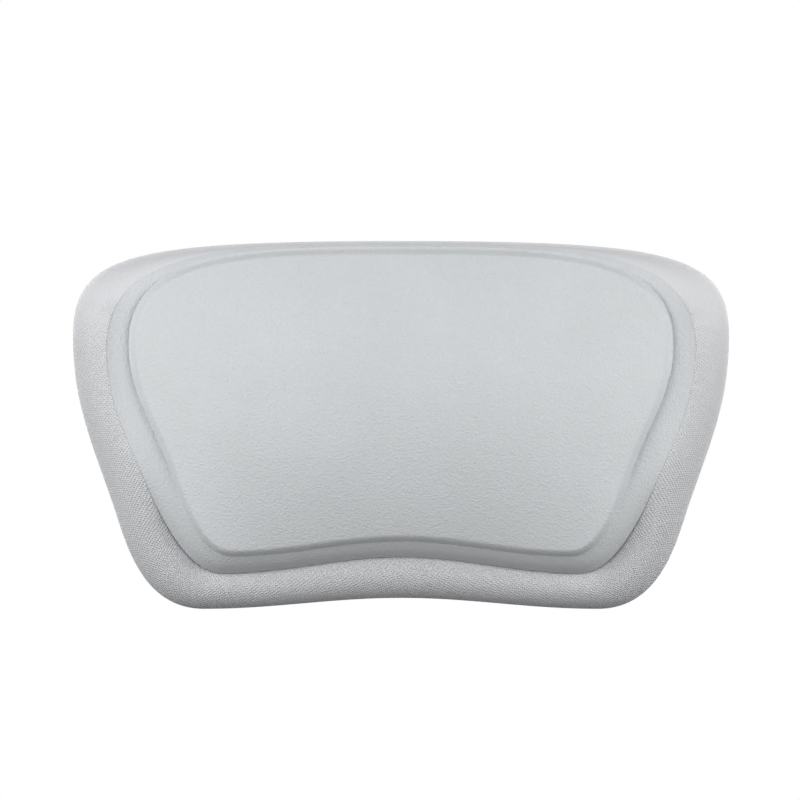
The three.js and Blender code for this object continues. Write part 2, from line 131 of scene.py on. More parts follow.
# %% Outlines
SPAN_STEPS = (84, 24, 48, 36)
FLANK_PULL, ARCH_PULL = 0.38, 0.36
PANEL_TOP, PANEL_CORNER, PANEL_ARCH = 80.0, (84.5, -74.4), 7.5
PLATE_FORM = dict(top=60.0, half_width=125.5, widest_z=23.4, flank=(105.5, -29.2), lean=23.0,
                  corner=(78.5, -61.0), arch=8.3, pulls=(0.7, 0.9, 0.3, 0.45))


def outline(top, half_width, widest_z, flank, lean, corner, arch, pulls, steps=SPAN_STEPS):
    """Closed outline, clockwise from the crown: four cubic spans for the right half, and their mirror image
    for the left."""
    crown_pull, side_pull, flank_pull, corner_pull = pulls
    crown, widest = np.array([0.0, top]), np.array([half_width, widest_z])
    flank, corner = np.array(flank), np.array(corner)
    neck = np.array([0.0, corner[1] + arch])
    up = np.array([math.sin(math.radians(lean)), math.cos(math.radians(lean))])
    across, rise = np.array([1.0, 0.0]), np.array([0.0, 1.0])
    flank_reach = FLANK_PULL * np.linalg.norm(widest - flank)
    corner_reach = np.linalg.norm(flank - corner)
    arch_reach = ARCH_PULL * corner[0]
    right = np.vstack([
        span(crown, crown + crown_pull * half_width * across,
             widest + side_pull * (top - widest_z) * rise, widest, steps[0]),
        span(widest, widest - flank_reach * rise, flank + flank_reach * up, flank, steps[1]),
        span(flank, flank - flank_pull * corner_reach * up,
             corner + corner_pull * corner_reach * across, corner, steps[2]),
        span(corner, corner - arch_reach * across, neck + arch_reach * across, neck, steps[3]),
    ])
    left = right[:0:-1] * (-1.0, 1.0)
    return np.vstack([right, neck, left])


body_line = outline(top=84.0, half_width=165.0, widest_z=36.0, flank=(145.0, -48.0), lean=19.0,
                    corner=(99.0, -101.0), arch=5.5, pulls=(0.84, 0.86, 0.27, 0.46))
pad_line = outline(top=82.0, half_width=147.5, widest_z=30.0, flank=(127.5, -38.0), lean=23.0,
                   corner=(89.5, -83.0), arch=8.3, pulls=(0.55, 1.0, 0.32, 0.30))
panel_line = outline(top=PANEL_TOP, half_width=136.5, widest_z=33.0, flank=(116.2, -30.0), lean=20.0,
                     corner=PANEL_CORNER, arch=PANEL_ARCH, pulls=(0.53, 1.0, 0.25, 0.34))
plate_line = outline(**PLATE_FORM)
print("points on an outline:", len(body_line))

# %% [markdown]
# ## From rings to a closed mesh
#
# Every new piece here is a stack of rings, one closed loop of points each, joined by four-sided faces and
# closed by a pole at both ends. Going from the side that faces the wall to the side that faces the bather
# keeps all faces pointing outwards.

# %% Mesh helpers
SMOOTH_ANGLE = 35.0


def ring(points, depth):
    """A loop of x, z points in millimetres at a depth from the back plane, as metres in the row frame."""
    depth = np.broadcast_to(np.asarray(depth, float), (len(points),))
    return np.stack([points[:, 0], -(STANDOFF + depth), points[:, 1]], axis=1) * MM


def pole(depth, x=0.0, z=0.0):
    """One closing point in metres, at a depth in millimetres."""
    return np.array([x, -(STANDOFF + depth), z]) * MM


def new_piece(name, vertices, faces, uv=None, smooth_angle=SMOOTH_ANGLE):
    """A mesh object at the origin, smooth except at edges sharper than the angle, with an optional map."""
    mesh = bpy.data.meshes.new(name)
    mesh.from_pydata(vertices.tolist(), [], faces)
    if uv is not None:
        layer = mesh.uv_layers.new(name="surface")
        layer.data.foreach_set("uv", uv.astype(np.float32).ravel())
    mesh.update()
    mesh.polygons.foreach_set("use_smooth", np.ones(len(mesh.polygons), bool))
    mesh.set_sharp_from_angle(angle=math.radians(smooth_angle))
    piece = bpy.data.objects.new(name, mesh)
    scene.collection.objects.link(piece)
    return piece


print("edges stay sharp over degrees:", SMOOTH_ANGLE)

# %% [markdown]
# Rings become faces by counting: each point joins its neighbour on the ring and the two points of the
# next ring. Only the base needs a map, for its grain: one direction follows the body's outline from the
# crown down both sides, and the other follows the profile, both in metres.

# %% Ring solids
FOLLOW_STEPS = 20


def followed(stack, line):
    """Map of a stack of rings that follows an outline. Along it: the length from the crown to the nearest
    point of the outline, the same down both sides. Across it: the length of the profile, taken square to
    the outline."""
    closed = np.vstack([line, line[:1]])
    length = lengths_along(closed)
    even = np.linspace(0.0, length[-1], FOLLOW_STEPS * len(line), endpoint=False)
    points = at_lengths(closed, length, even)
    from_crown = np.minimum(even, length[-1] - even)
    reach = [np.linalg.norm(loop[:, None] - points, axis=2) for loop in stack[..., [0, 2]] / MM]
    along = np.array([from_crown[r.argmin(axis=1)] for r in reach])
    away = np.array([r.min(axis=1) for r in reach])
    across = np.zeros_like(along)
    across[1:] = np.cumsum(np.hypot(np.diff(away, axis=0), np.diff(stack[..., 1], axis=0) / MM), axis=0)
    return np.stack([along, across], axis=-1).reshape(-1, 2) * MM


def ring_solid(name, rings, back_pole, front_pole, follow=None, smooth_angle=SMOOTH_ANGLE):
    """Closed surface over a stack of rings: quads between neighbours and a fan round each pole.
    With an outline to follow, it also gets a map for a pattern."""
    stack = np.array(rings)
    levels, count = stack.shape[:2]
    level = np.arange(levels - 1)[:, None] * count
    j = np.arange(count)[None, :]
    after = (j + 1) % count
    quads = np.stack([level + j, level + count + j, level + count + after, level + after], axis=-1)
    quads = quads.reshape(-1, 4)
    back, front = levels * count, levels * count + 1
    last = (levels - 1) * count
    fan_back = np.stack([np.full(count, back), j[0], after[0]], axis=1)
    fan_front = np.stack([np.full(count, front), last + after[0], last + j[0]], axis=1)
    vertices = np.vstack([stack.reshape(-1, 3), back_pole, front_pole])
    faces = quads.tolist() + fan_back.tolist() + fan_front.tolist()
    uv = None
    if follow is not None:
        spots = followed(stack, follow)
        spots = np.vstack([spots, spots[:count].mean(axis=0), spots[last:].mean(axis=0)])
        uv = spots[np.concatenate([quads.ravel(), fan_back.ravel(), fan_front.ravel()])]
    return new_piece(name, vertices, faces, uv, smooth_angle)


print("places along the outline that a map follows:", FOLLOW_STEPS * len(body_line))

# %% [markdown]
# ## The form of the pad
#
# The head panel is a dome: a parabola from neck to top times a cubic fall to both flanks. It is highest
# in the middle and comes down to one depth along the top and the neck. A step lifts it above the
# shoulder, soft at the top and crisper lower down. At the flanks and the top the shoulder lies nearly
# flush with the flange, and at the neck it climbs as a wall, because there the crease runs further back.
# The form could be sculpted; formulas over the nested outlines are smoother, and give it again at any
# distance under the skin.
#
# Four shares describe each point of the outline: how far it belongs to the neck, to the crown or to a
# flank, and how crisp the step is there.

# %% Pad depths
PANEL_NECK, NECK_BEND = PANEL_CORNER[1] + PANEL_ARCH, PANEL_ARCH / PANEL_CORNER[0] ** 2
PANEL_HALF, PANEL_TAPER = 146.0, 0.33
STEP_HEIGHT, SIDE_RISE = 4.5, 2.5
NECK_RISE = PANEL_EDGE - STEP_HEIGHT - NECK_CREASE
NECK_TOP, NECK_BAND = -20.0, 56.0
CROWN_FOOT, CROWN_BAND = 40.0, 35.0
CRISP_TOP, CRISP_BAND = 30.0, 36.0


def eased(t):
    """Smooth step: three t squared minus two t cubed, held between 0 and 1."""
    t = np.clip(t, 0.0, 1.0)
    return t * t * (3.0 - 2.0 * t)


def panel_depth(points):
    """Edge depth plus the dome: (1 - v squared) (1 - u cubed), where v runs from -1 at the neck to 1 at the
    top and u from 0 in the middle to 1 beyond the flank."""
    x, z = points[:, 0], points[:, 1]
    neck_z = PANEL_NECK - NECK_BEND * x ** 2
    v = (2 * z - PANEL_TOP - neck_z) / (PANEL_TOP - neck_z)
    u = np.abs(x) / (PANEL_HALF + PANEL_TAPER * z)
    return PANEL_EDGE + (CROWN - PANEL_EDGE) * (1 - v ** 2) * (1 - u ** 3)


neck = eased((NECK_TOP - pad_line[:, 1]) / NECK_BAND)
crown = eased((pad_line[:, 1] - CROWN_FOOT) / CROWN_BAND)
flank = (1 - neck) * (1 - crown)
crisp = eased((CRISP_TOP - pad_line[:, 1]) / CRISP_BAND)
crease_depth = panel_depth(panel_line) - STEP_HEIGHT - SIDE_RISE - (NECK_RISE - SIDE_RISE) * neck
print("crease depth in mm, least and most:", crease_depth.min().round(1), crease_depth.max().round(1))

# %% [markdown]
# The rings of the pad run from the crease inwards. The shoulder comes first. It has a low ridge along the
# crease at the flanks and a shallow groove at the foot of the step. The ridge is on the outer face only,
# so the skin is thicker there and the foam inside keeps a plain form.

# %% Shoulder rings
SHOULDER_POWER, NECK_FLAT = 1.25, 0.25
NECK_WALL, WALL_POWER = 5.5, 4.5
GROOVE, GROOVE_POWER, GROOVE_ROOM, GROOVE_FADE = 0.9, 8, 8.0, 0.6
RIDGE, FLANK_DIP, NECK_DIP, STEP_LEAD = 2.8, 0.2, 1.0, 0.5

shoulder_width = np.linalg.norm(pad_line - panel_line, axis=1)
groove = GROOVE * (1 - neck) * (1 - GROOVE_FADE * crown) * np.minimum(1, shoulder_width / GROOVE_ROOM)
ridge = RIDGE * flank
dip = FLANK_DIP * flank + NECK_DIP * neck
ledge_line = drawn_in(panel_line, -STEP_LEAD * crown)


def shoulder_rings(skin, steps):
    """From the crease, s = 0, to the ledge, s = 1, closer at both ends. The depth is a climb and a steeper
    wall, each as 1 minus a power of 1 - s, less the groove as a power of s and the dip as (1 - s) squared,
    plus the ridge as (1 - s) cubed."""
    crease, ledge = drawn_in(pad_line, skin), drawn_in(ledge_line, skin)
    climb = panel_depth(ledge) - STEP_HEIGHT - skin - crease_depth
    wall = NECK_WALL * neck
    bend = SHOULDER_POWER - NECK_FLAT * neck
    crest = ridge if skin == 0 else 0.0
    rings = []
    for s in (1 - np.cos(np.linspace(0, math.pi, steps))) / 2:
        rest = 1 - s
        depth = crease_depth + (climb - wall) * (1 - rest ** bend) + wall * (1 - rest ** WALL_POWER)
        depth = depth - groove * s ** GROOVE_POWER - dip * rest ** 2 + crest * rest ** 3
        rings.append(ring(crease + (ledge - crease) * s, depth))
    return rings


print("shoulder width in mm:", shoulder_width.min().round(1), "to", shoulder_width.max().round(1))

# %% [markdown]
# The step and the panel follow. Towards the middle the rings only shrink to the crown, since the dome
# gives their depth.

# %% Step and panel rings
STEP_WIDTH, STEP_START, CRISP_POWER = 3.8, 0.15, 2.2


def step_rings(skin, steps):
    """From the ledge, s = 0, to the panel, s = 1. The height still to climb falls as an eased curve where
    the step is soft and as a power of 1 - s where it is crisp."""
    rings = []
    for s in np.linspace(0, 1, steps)[1:]:
        line = drawn_in(ledge_line, skin + STEP_WIDTH * s)
        soft = 1 - eased((s - STEP_START) / (1 - STEP_START))
        fall = soft + ((1 - s) ** CRISP_POWER - soft) * crisp
        rings.append(ring(line, panel_depth(line) - skin - (STEP_HEIGHT + groove) * fall))
    return rings


def panel_rings(skin, steps):
    """The edge of the panel shrunk towards the crown in even steps, each at the depth of the dome."""
    edge = drawn_in(ledge_line, skin + STEP_WIDTH)
    centre = np.array([0.0, CROWN_Z])
    rings = []
    for s in np.linspace(0, 1, steps + 1)[1:-1]:
        line = edge + (centre - edge) * s
        rings.append(ring(line, panel_depth(line) - skin))
    return rings


def pad_rings(skin, shoulder_steps, step_steps, panel_steps):
    """All rings from the crease to the crown, drawn in and lowered by the distance under the skin."""
    shoulder = shoulder_rings(skin, shoulder_steps)
    return shoulder + step_rings(skin, step_steps) + panel_rings(skin, panel_steps)


print("step width in mm:", STEP_WIDTH)

# %% [markdown]
# ## Cover and filling of the pad
#
# The cover is a cast skin two millimetres thick. At the crease it dives straight down into the base and
# turns in to a flat rim, which the board clamps from inside. Two stacks of rings, the inner one reversed,
# make it a closed wall. The filling is a block of soft foam with the cover's inner form.

# %% Pad cover and filling
RIM_WIDTH, RIM_ROUND = 9.0, 0.5
COVER_SMOOTH = 60
inner = pad_rings(COVER_WALL, shoulder_steps=14, step_steps=6, panel_steps=30)
outer = pad_rings(0.0, shoulder_steps=30, step_steps=14, panel_steps=48)
cover_rings = inner[::-1] + [
    ring(drawn_in(pad_line, COVER_WALL), RIM_FRONT),
    ring(drawn_in(pad_line, RIM_WIDTH), RIM_FRONT),
    ring(drawn_in(pad_line, RIM_WIDTH), RIM_BACK),
    ring(drawn_in(pad_line, RIM_ROUND), RIM_BACK),
    ring(pad_line, RIM_BACK + RIM_ROUND),
] + outer
pad_skin = ring_solid("pad_skin", cover_rings, pole(CROWN - COVER_WALL, z=CROWN_Z), pole(CROWN, z=CROWN_Z),
                      smooth_angle=COVER_SMOOTH)
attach(pad_skin, "pillow")
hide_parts("pad_cover")

under = COVER_WALL + GAP
filling_rings = [ring(drawn_in(pad_line, under), CORE_BACK)]
filling_rings += pad_rings(under, shoulder_steps=10, step_steps=5, panel_steps=20)
pad_filling = ring_solid("pad_filling", filling_rings, pole(CORE_BACK), pole(CROWN - under, z=CROWN_Z))
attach(pad_filling, "pillow")
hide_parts("pad_core")
print("pad skin faces:", len(pad_skin.data.polygons), "filling faces:", len(pad_filling.data.polygons))

# %% [markdown]
# ## The base with its flange
#
# The base is one casting of denser foam. Its flange is part of an ellipse, upright at the pillow's edge
# and nearly level at the crease. At the neck it goes past level and rolls over into a round lip; at the
# flanks and the top that lip is only a hair wide. The back is flat, with a recess for the plate. The seat
# of the pad ends on a thin floor.

# %% Base body
BACK_ROUND, BACK_SHARES = 3.0, (0.33, 0.66)
BRIM, BRIM_BEND = 0.6, 0.18
FLANGE_SWEEP, NECK_SWEEP = 82.0, 104.0
FLANK_LIP, NECK_LIP, LIP_FADE = 0.12, 2.2, 0.95
SEAM, SEAM_FADE = 0.03, 0.9
BACK_STEPS, FLANGE_STEPS, LIP_STEPS = 8, 34, 7

seat = drawn_in(pad_line, -SEAM * (1 - SEAM_FADE * crown))
lip = (FLANK_LIP + (NECK_LIP - FLANK_LIP) * neck) * (1 - LIP_FADE * crown)
lip_depth = crease_depth + ridge
lip_line = drawn_in(seat, -lip)


def back_rings():
    """Wall of the recess, its rounded brim, the flat back, and a quarter circle up to the edge."""
    recess = drawn_in(plate_line, -GAP)
    brim, edge = drawn_in(recess, -BRIM), drawn_in(body_line, BACK_ROUND)
    rings = [ring(recess, PLATE + GAP), ring(recess, BRIM)]
    rings += [ring(drawn_in(recess, -BRIM_BEND), BRIM_BEND), ring(brim, 0.0)]
    rings += [ring(brim + (edge - brim) * s, 0.0) for s in BACK_SHARES]
    for a in np.radians(np.linspace(0, 90, BACK_STEPS)):
        line = drawn_in(body_line, BACK_ROUND * (1 - math.sin(a)))
        rings.append(ring(line, BACK_ROUND * (1 - math.cos(a))))
    return rings


def flange_rings():
    """Part of an ellipse from the edge to the lip: inward as 1 - cos a and forward as sin a, both scaled to
    end at the lip, where a is the sweep. A sweep past 90 degrees rolls over."""
    sweep = np.radians(FLANGE_SWEEP + (NECK_SWEEP - FLANGE_SWEEP) * neck)
    rings = []
    for s in np.linspace(0, 1, FLANGE_STEPS)[1:]:
        a = sweep * s
        inward = (1 - np.cos(a)) / (1 - np.cos(sweep))
        line = body_line + (lip_line - body_line) * inward[:, None]
        rings.append(ring(line, BACK_ROUND + (lip_depth - BACK_ROUND) * np.sin(a) / np.sin(sweep)))
    return rings


def seat_rings():
    """A quarter circle from the flange into the seat of the pad, then straight down to the floor."""
    rings = []
    for a in np.radians(np.linspace(0, 90, LIP_STEPS))[1:]:
        line = drawn_in(seat, -lip * (1 - math.sin(a)))
        rings.append(ring(line, lip_depth - lip * (1 - math.cos(a))))
    return rings + [ring(seat, FLOOR)]


base_body = ring_solid("base_body", back_rings() + flange_rings() + seat_rings(), pole(PLATE + GAP),
                       pole(FLOOR), follow=body_line)
print("base faces before the cuts:", len(base_body.data.polygons))

# %% [markdown]
# The socket caps sit in pockets of the base, and the bosses of the board pass through its floor to meet
# the screws. Such holes would break the ring pattern, so closed cutters take them out afterwards. A
# pocket is longer than wide by the travel of a stud, and the screws stand on a line inside the plate's
# outline.

# %% Cutters
STUD_HEAD, CAP_BRIM, KEY_TRAVEL = 7.0, 3.0, 12.0
CAP_OUTSIDE = STUD_HEAD + 2 * GAP + CAP_WALL + CAP_BRIM + GAP
SCREW_SHANK, BOSS_WALL = 1.75, 2.5
BOSS_HOLE = SCREW_SHANK + GAP + BOSS_WALL + GAP
SCREW_INSET, SCREW_STEPS, SCREW_PICKS = 9.0, (14, 4, 8, 6), [4, -4, 16, -16, 30, -30]
SCREWS = drawn_in(outline(**PLATE_FORM, steps=SCREW_STEPS), SCREW_INSET)[SCREW_PICKS]
CUT_START, CUT_PAST = 1.0, 1.0


def obround(radius, count=48):
    """Two half circles joined by straight sides, clockwise, the upper centre on the origin."""
    a = np.linspace(0, math.pi, count // 2)
    upper = np.stack([-radius * np.cos(a), radius * np.sin(a)], axis=1)
    lower = np.stack([radius * np.cos(a), -KEY_TRAVEL - radius * np.sin(a)], axis=1)
    return np.vstack([upper, lower])


def circle(radius, count=32):
    """Clockwise loop about the origin: radius times sine and cosine of the angle."""
    a = np.linspace(0, 2 * math.pi, count, endpoint=False)
    return radius * np.stack([np.sin(a), np.cos(a)], axis=1)


def cutter(name, line, front, spot):
    """A closed prism over a loop about a spot, from inside the plate's recess to a depth."""
    loop = line + spot
    return ring_solid(name, [ring(loop, CUT_START), ring(loop, front)],
                      pole(CUT_START, *spot), pole(front, *spot))


tools = [cutter(f"pocket_{place}", obround(CAP_OUTSIDE), CAP_FRONT + GAP, spot)
         for place, spot in CUPS.items()]
tools += [cutter(f"boss_hole_{i}", circle(BOSS_HOLE), FLOOR + CUT_PAST, spot)
          for i, spot in enumerate(SCREWS)]
print("cutters:", len(tools))

# %% [markdown]
# A Boolean modifier takes one solid out of another. Its exact solver copes with faces that touch, and the
# result is kept as the base's own mesh, so the modifiers and the cutters can go.

# %% Pockets and boss holes
def cut_from(piece, cutters):
    """Takes each closed cutter out of the piece with an exact Boolean, keeps the result as its mesh."""
    for tool in cutters:
        modifier = piece.modifiers.new("cut", "BOOLEAN")
        modifier.operation = "DIFFERENCE"
        modifier.solver = "EXACT"
        modifier.object = tool
    bpy.context.view_layer.update()
    shaped = bpy.data.meshes.new_from_object(piece.evaluated_get(bpy.context.evaluated_depsgraph_get()))
    piece.modifiers.clear()
    piece.data = shaped
    for tool in cutters:
        bpy.data.objects.remove(tool)


cut_from(base_body, tools)
base_body.data.set_sharp_from_angle(angle=math.radians(SMOOTH_ANGLE))
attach(base_body, "pillow")
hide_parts("base_flange")
print("base faces:", len(base_body.data.polygons))

# %% [markdown]
# ## Studs
#
# A stud is a turned part: a barb that snaps into the cup, a collar that the plate rests on, a shank
# through the keyhole and a flat head inside the pillow. A profile of radius and height carried round an
# axis gives it. The solid has that form with fewer sides and square edges; a finer one with rounded edges
# stands for it here.

# %% Studs
CUP_DISH, CUP_WEB, THROAT_SHARE = 2.8, 1.4, 0.52
SOCKET_FLOOR = CUP_DISH + CUP_WEB
THROAT = SOCKET_FLOOR + THROAT_SHARE * (CUP_HEIGHT - SOCKET_FLOOR)
TIP, PIN, BARB, COLLAR, SHANK = 1.2, 2.5, 3.2, 5.5, 3.75
HEAD_SIDE, HEAD_FLAT = 1.7, 5.8
NIP, CHAMFER, ROUND = 0.05, 0.15, 0.3
STUD_SIDES, STUD_SMOOTH = 72, 30.0


def carried_round(name, levels, ends, spot, count, smooth_angle=SMOOTH_ANGLE):
    """Levels of radius and height from the wall, carried round the depth axis through a spot: x and z are
    the radius times sine and cosine. A radius is one number or one for each angle. Two end heights close
    the form."""
    turn = circle(1.0, count)
    rings = [np.stack([radius * turn[:, 0] + spot[0], np.full(count, -height),
                       radius * turn[:, 1] + spot[1]], axis=1) * MM for radius, height in levels]
    back_end, front_end = (np.array([spot[0], -height, spot[1]]) * MM for height in ends)
    return ring_solid(name, rings, back_end, front_end, smooth_angle=smooth_angle)


tip, barb, collar, head = SOCKET_FLOOR + GAP, THROAT - GAP, CUP_HEIGHT + GAP, STANDOFF + HEAD_BACK
collar_top, head_top = collar + COLLAR_HEIGHT, head + STUD_HEAD_HEIGHT
stud_levels = [
    (TIP, tip), (TIP + ROUND, tip + CHAMFER), (BARB - 2 * NIP, barb - CHAMFER), (BARB, barb - NIP),
    (BARB - NIP, barb), (PIN, barb), (PIN, collar), (COLLAR - ROUND, collar), (COLLAR, collar + ROUND),
    (COLLAR, collar_top - ROUND), (COLLAR - ROUND, collar_top), (SHANK, collar_top), (SHANK, head),
    (STUD_HEAD - ROUND, head), (STUD_HEAD, head + ROUND), (STUD_HEAD, head + HEAD_SIDE),
    (STUD_HEAD - ROUND, head_top - ROUND), (HEAD_FLAT, head_top),
]
studs = []
for place, spot in CUPS.items():
    stud = carried_round(f"stud_{place}", stud_levels, (tip, head_top), spot, STUD_SIDES, STUD_SMOOTH)
    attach(stud, f"stud_{place}")
    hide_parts(f"cup_stud_{place}")
    studs.append(stud)
print("studs:", len(studs), "faces of one:", len(studs[0].data.polygons))

# %% [markdown]
# ## Screws
#
# A countersunk screw is turned too, except for the cross recess that a driver fits. The head is a fine
# round grid, and the recess is a dip in its height: a point lies in it when it is close to one of the two
# arms and not too far out.

# %% Screws
SCREW_BACK, SCREW_TIP, SCREW_SIDES, SCREW_SMOOTH = GAP, 14.0, 96, 40
HEAD_LOOPS = np.linspace(0.12, 3.3, 26)
SCREW_LEVELS = ((3.45, SCREW_BACK + 0.08), (3.5, SCREW_BACK + 0.3), (SCREW_SHANK, 2.2), (SCREW_SHANK, 10.5),
                (0.7, 13.4))
CROSS_DEPTH, CROSS_HALF, CROSS_SLOPE, CROSS_REACH, CROSS_END = 1.1, 0.55, 0.22, 2.1, 0.5


def cross_dip(radius):
    """Depth of the recess round one loop: eased by the distance to an arm, times eased by the radius."""
    beside = np.abs(circle(radius, SCREW_SIDES)).min(axis=1)
    across = eased((CROSS_HALF - beside) / CROSS_SLOPE)
    return CROSS_DEPTH * across * eased((CROSS_REACH - radius) / CROSS_END)


screws = []
for i, spot in enumerate(SCREWS):
    rings = [ring(circle(radius, SCREW_SIDES) + spot, SCREW_BACK + cross_dip(radius))
             for radius in HEAD_LOOPS]
    rings += [ring(circle(radius, SCREW_SIDES) + spot, depth) for radius, depth in SCREW_LEVELS]
    screw = ring_solid(f"screw_{i + 1}", rings, pole(SCREW_BACK + CROSS_DEPTH, *spot),
                       pole(SCREW_TIP, *spot), smooth_angle=SCREW_SMOOTH)
    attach(screw, "pillow")
    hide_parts(f"plate_screw_{i + 1}")
    screws.append(screw)
print("screws:", len(screws), "faces of one:", len(screws[0].data.polygons))

# %% [markdown]
# ## Suction cups
#
# A cup is moulded in one go from soft clear vinyl: a boss with an undercut socket for the stud, a thin
# dome, a flat lip and a pull tab. It is nearly a turned part. Only the edge differs: there the radius
# depends on the angle, as the greater of the circle and the outline of the tab, so the tab grows out of
# the lip in the same surface.

# %% Outline of the cup's edge
CUP_RADIUS, CUP_SIDES = 22.0, 288
TAB_LENGTH, TAB_HALF = 9.0, 5.0
NEARLY_ZERO = 1e-6


def tab_outline():
    """Radius for each angle, the greater of the cup's own and the tab's. A ray downward meets the tab at its
    round end, at centre times cosine plus a square root, or at a straight side, at half width over sine."""
    turn = circle(1.0, CUP_SIDES)
    downward = turn[:, 1] < 0
    centre = CUP_RADIUS + TAB_LENGTH - TAB_HALF
    swing = centre * turn[:, 0]
    inside = np.clip(TAB_HALF ** 2 - swing ** 2, 0, None)
    end = np.where((np.abs(swing) < TAB_HALF) & downward, -centre * turn[:, 1] + np.sqrt(inside), 0.0)
    side = np.where(downward, TAB_HALF / np.maximum(np.abs(turn[:, 0]), NEARLY_ZERO), 0.0)
    return np.maximum(CUP_RADIUS, np.where(end > 0, end, np.minimum(side, centre)))


tab_edge = tab_outline()
print("cup radius in mm, least and most:", tab_edge.min(), tab_edge.max().round(2))

# %% [markdown]
# The levels of a cup run from the middle of its hollow out to the lip, round the edge and the tab, up the
# dome and the boss, and down into the socket. The hollow and the dome are cubic curves in radius and
# height.

# %% Cups with pull tabs
CUP_LIP, CUP_EDGE, SOCKET_WALL, CUP_STEPS = 2.0, 0.9, 4.0, 14
DOME_DROP, DOME_PULL, DOME_SPREAD, DOME_SINK = 2.4, 0.6, 0.72, 0.4
DISH_SPREAD, DISH_RISE, DISH_FLAT = 0.8, 0.6, 0.45
FOOT, BRINK, BOSS_BEND, BOSS_ROUND = 0.3, 0.2, 0.25, 0.8
SOCKET_PIN, SOCKET_BARB = PIN + GAP, BARB + GAP

boss = SOCKET_BARB + SOCKET_WALL
lip_radius = CUP_RADIUS - CUP_LIP
shares = np.linspace(0, 1, CUP_STEPS)
dome = cubic((boss, CUP_HEIGHT - DOME_DROP), (boss + DOME_PULL, SOCKET_FLOOR),
             (DOME_SPREAD * CUP_RADIUS, SOCKET_FLOOR - DOME_SINK), (CUP_RADIUS, CUP_EDGE), shares)
dish = cubic((lip_radius, 0.0), (DISH_SPREAD * lip_radius, DISH_RISE * CUP_DISH),
             (DISH_FLAT * lip_radius, CUP_DISH), (0.0, CUP_DISH), shares)
cup_levels = list(dish[::-1][1:])
cup_levels += [(CUP_RADIUS - FOOT, 0.0), (tab_edge - 0.5 * FOOT, 0.4 * FOOT), (tab_edge, FOOT),
               (tab_edge, CUP_EDGE - BRINK), (tab_edge - BRINK, CUP_EDGE),
               (CUP_RADIUS - 2 * BRINK, CUP_EDGE)]
cup_levels += list(dome[::-1][1:])
cup_levels += [(boss, CUP_HEIGHT - BOSS_ROUND), (boss - BOSS_BEND, CUP_HEIGHT - BOSS_BEND),
               (boss - BOSS_ROUND, CUP_HEIGHT), (SOCKET_PIN, CUP_HEIGHT), (SOCKET_PIN, THROAT),
               (SOCKET_BARB, THROAT), (SOCKET_BARB, SOCKET_FLOOR)]
cups = []
for place, spot in CUPS.items():
    cup = carried_round(f"cup_{place}", cup_levels, (CUP_DISH, SOCKET_FLOOR), spot, CUP_SIDES)
    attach(cup, f"cup_{place}")
    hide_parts(f"suction_cup_{place}")
    cups.append(cup)
print("faces of a cup:", len(cups[0].data.polygons))

# %% [markdown]
# ## Materials
#
# All finishes are node networks on the surface's own map or on object coordinates, with no pictures. A
# bump node turns a height pattern into relief for the light; the pattern is built from sines and noise at
# the real scale. Adding nodes one by one is wordy, so a small class keeps the nodes of one material and
# adds the usual kinds.

# %% Node helpers
class Net:
    """The nodes of one material or world. Numbers go on a node's sockets, and outputs are linked."""

    def __init__(self, tree):
        self.nodes, self.links = tree.nodes, tree.links

    def put(self, socket, value):
        """Links an output to the socket, or sets the socket's own value."""
        if isinstance(value, bpy.types.NodeSocket):
            self.links.new(value, socket)
        else:
            socket.default_value = value

    def add(self, kind, **inputs):
        """A new node with some inputs given. An underscore stands for the blank in a socket's name."""
        node = self.nodes.new(kind)
        for name, value in inputs.items():
            self.put(node.inputs[name.replace("_", " ")], value)
        return node

    def math(self, operation, first, second=None):
        """One Math node of one or two values."""
        node = self.nodes.new("ShaderNodeMath")
        node.operation = operation
        for socket, value in zip(node.inputs, (first, second)):
            if value is not None:
                self.put(socket, value)
        return node.outputs[0]

    def between(self, value, limits, levels):
        """Straight ramp: between the limits it goes from the first level to the second, and stays there."""
        node = self.add("ShaderNodeMapRange", Value=value, From_Min=limits[0], From_Max=limits[1],
                        To_Min=levels[0], To_Max=levels[1])
        return node.outputs[0]

    def place(self):
        """Object coordinates, which are metres in the row frame for every piece here."""
        return self.nodes.new("ShaderNodeTexCoord").outputs["Object"]

    def noise(self, scale, detail=2.0, roughness=0.5, output="Fac"):
        """Fractal noise on object coordinates, with a given number of features per metre."""
        node = self.add("ShaderNodeTexNoise", Vector=self.place(), Scale=scale, Detail=detail,
                        Roughness=roughness)
        return node.outputs[output]

    def mixed(self, share, first, second, output):
        """Sends the first shader to an output node, or the second where the share is 1."""
        mix = self.add("ShaderNodeMixShader", Fac=share)
        self.links.new(first.outputs[0], mix.inputs[1])
        self.links.new(second.outputs[0], mix.inputs[2])
        self.links.new(mix.outputs[0], self.nodes[output].inputs["Surface"])


print("node helpers:", [name for name in vars(Net) if not name.startswith("_")])

# %% [markdown]
# A finish here is a Principled shader with at most two patterns on it: relief and tint. Values that are
# the same all over go on the shader's own sockets.

# %% Finish helpers
TINT_SPAN = (0.3, 0.7)


def material(name, colour, roughness, **sockets):
    """A Principled material, its net of nodes and its shader."""
    made = bpy.data.materials.new(name)
    made.use_nodes = True
    net = Net(made.node_tree)
    shader = net.nodes["Principled BSDF"]
    shader.inputs["Base Color"].default_value = (*colour, 1.0)
    shader.inputs["Roughness"].default_value = roughness
    for socket, value in sockets.items():
        shader.inputs[socket.replace("_", " ")].default_value = value
    return made, net, shader


def relief(net, shader, height, depth):
    """Bump with a real depth in metres, on the shader's normal."""
    bump = net.add("ShaderNodeBump", Strength=1.0, Distance=depth, Height=height)
    net.links.new(bump.outputs["Normal"], shader.inputs["Normal"])


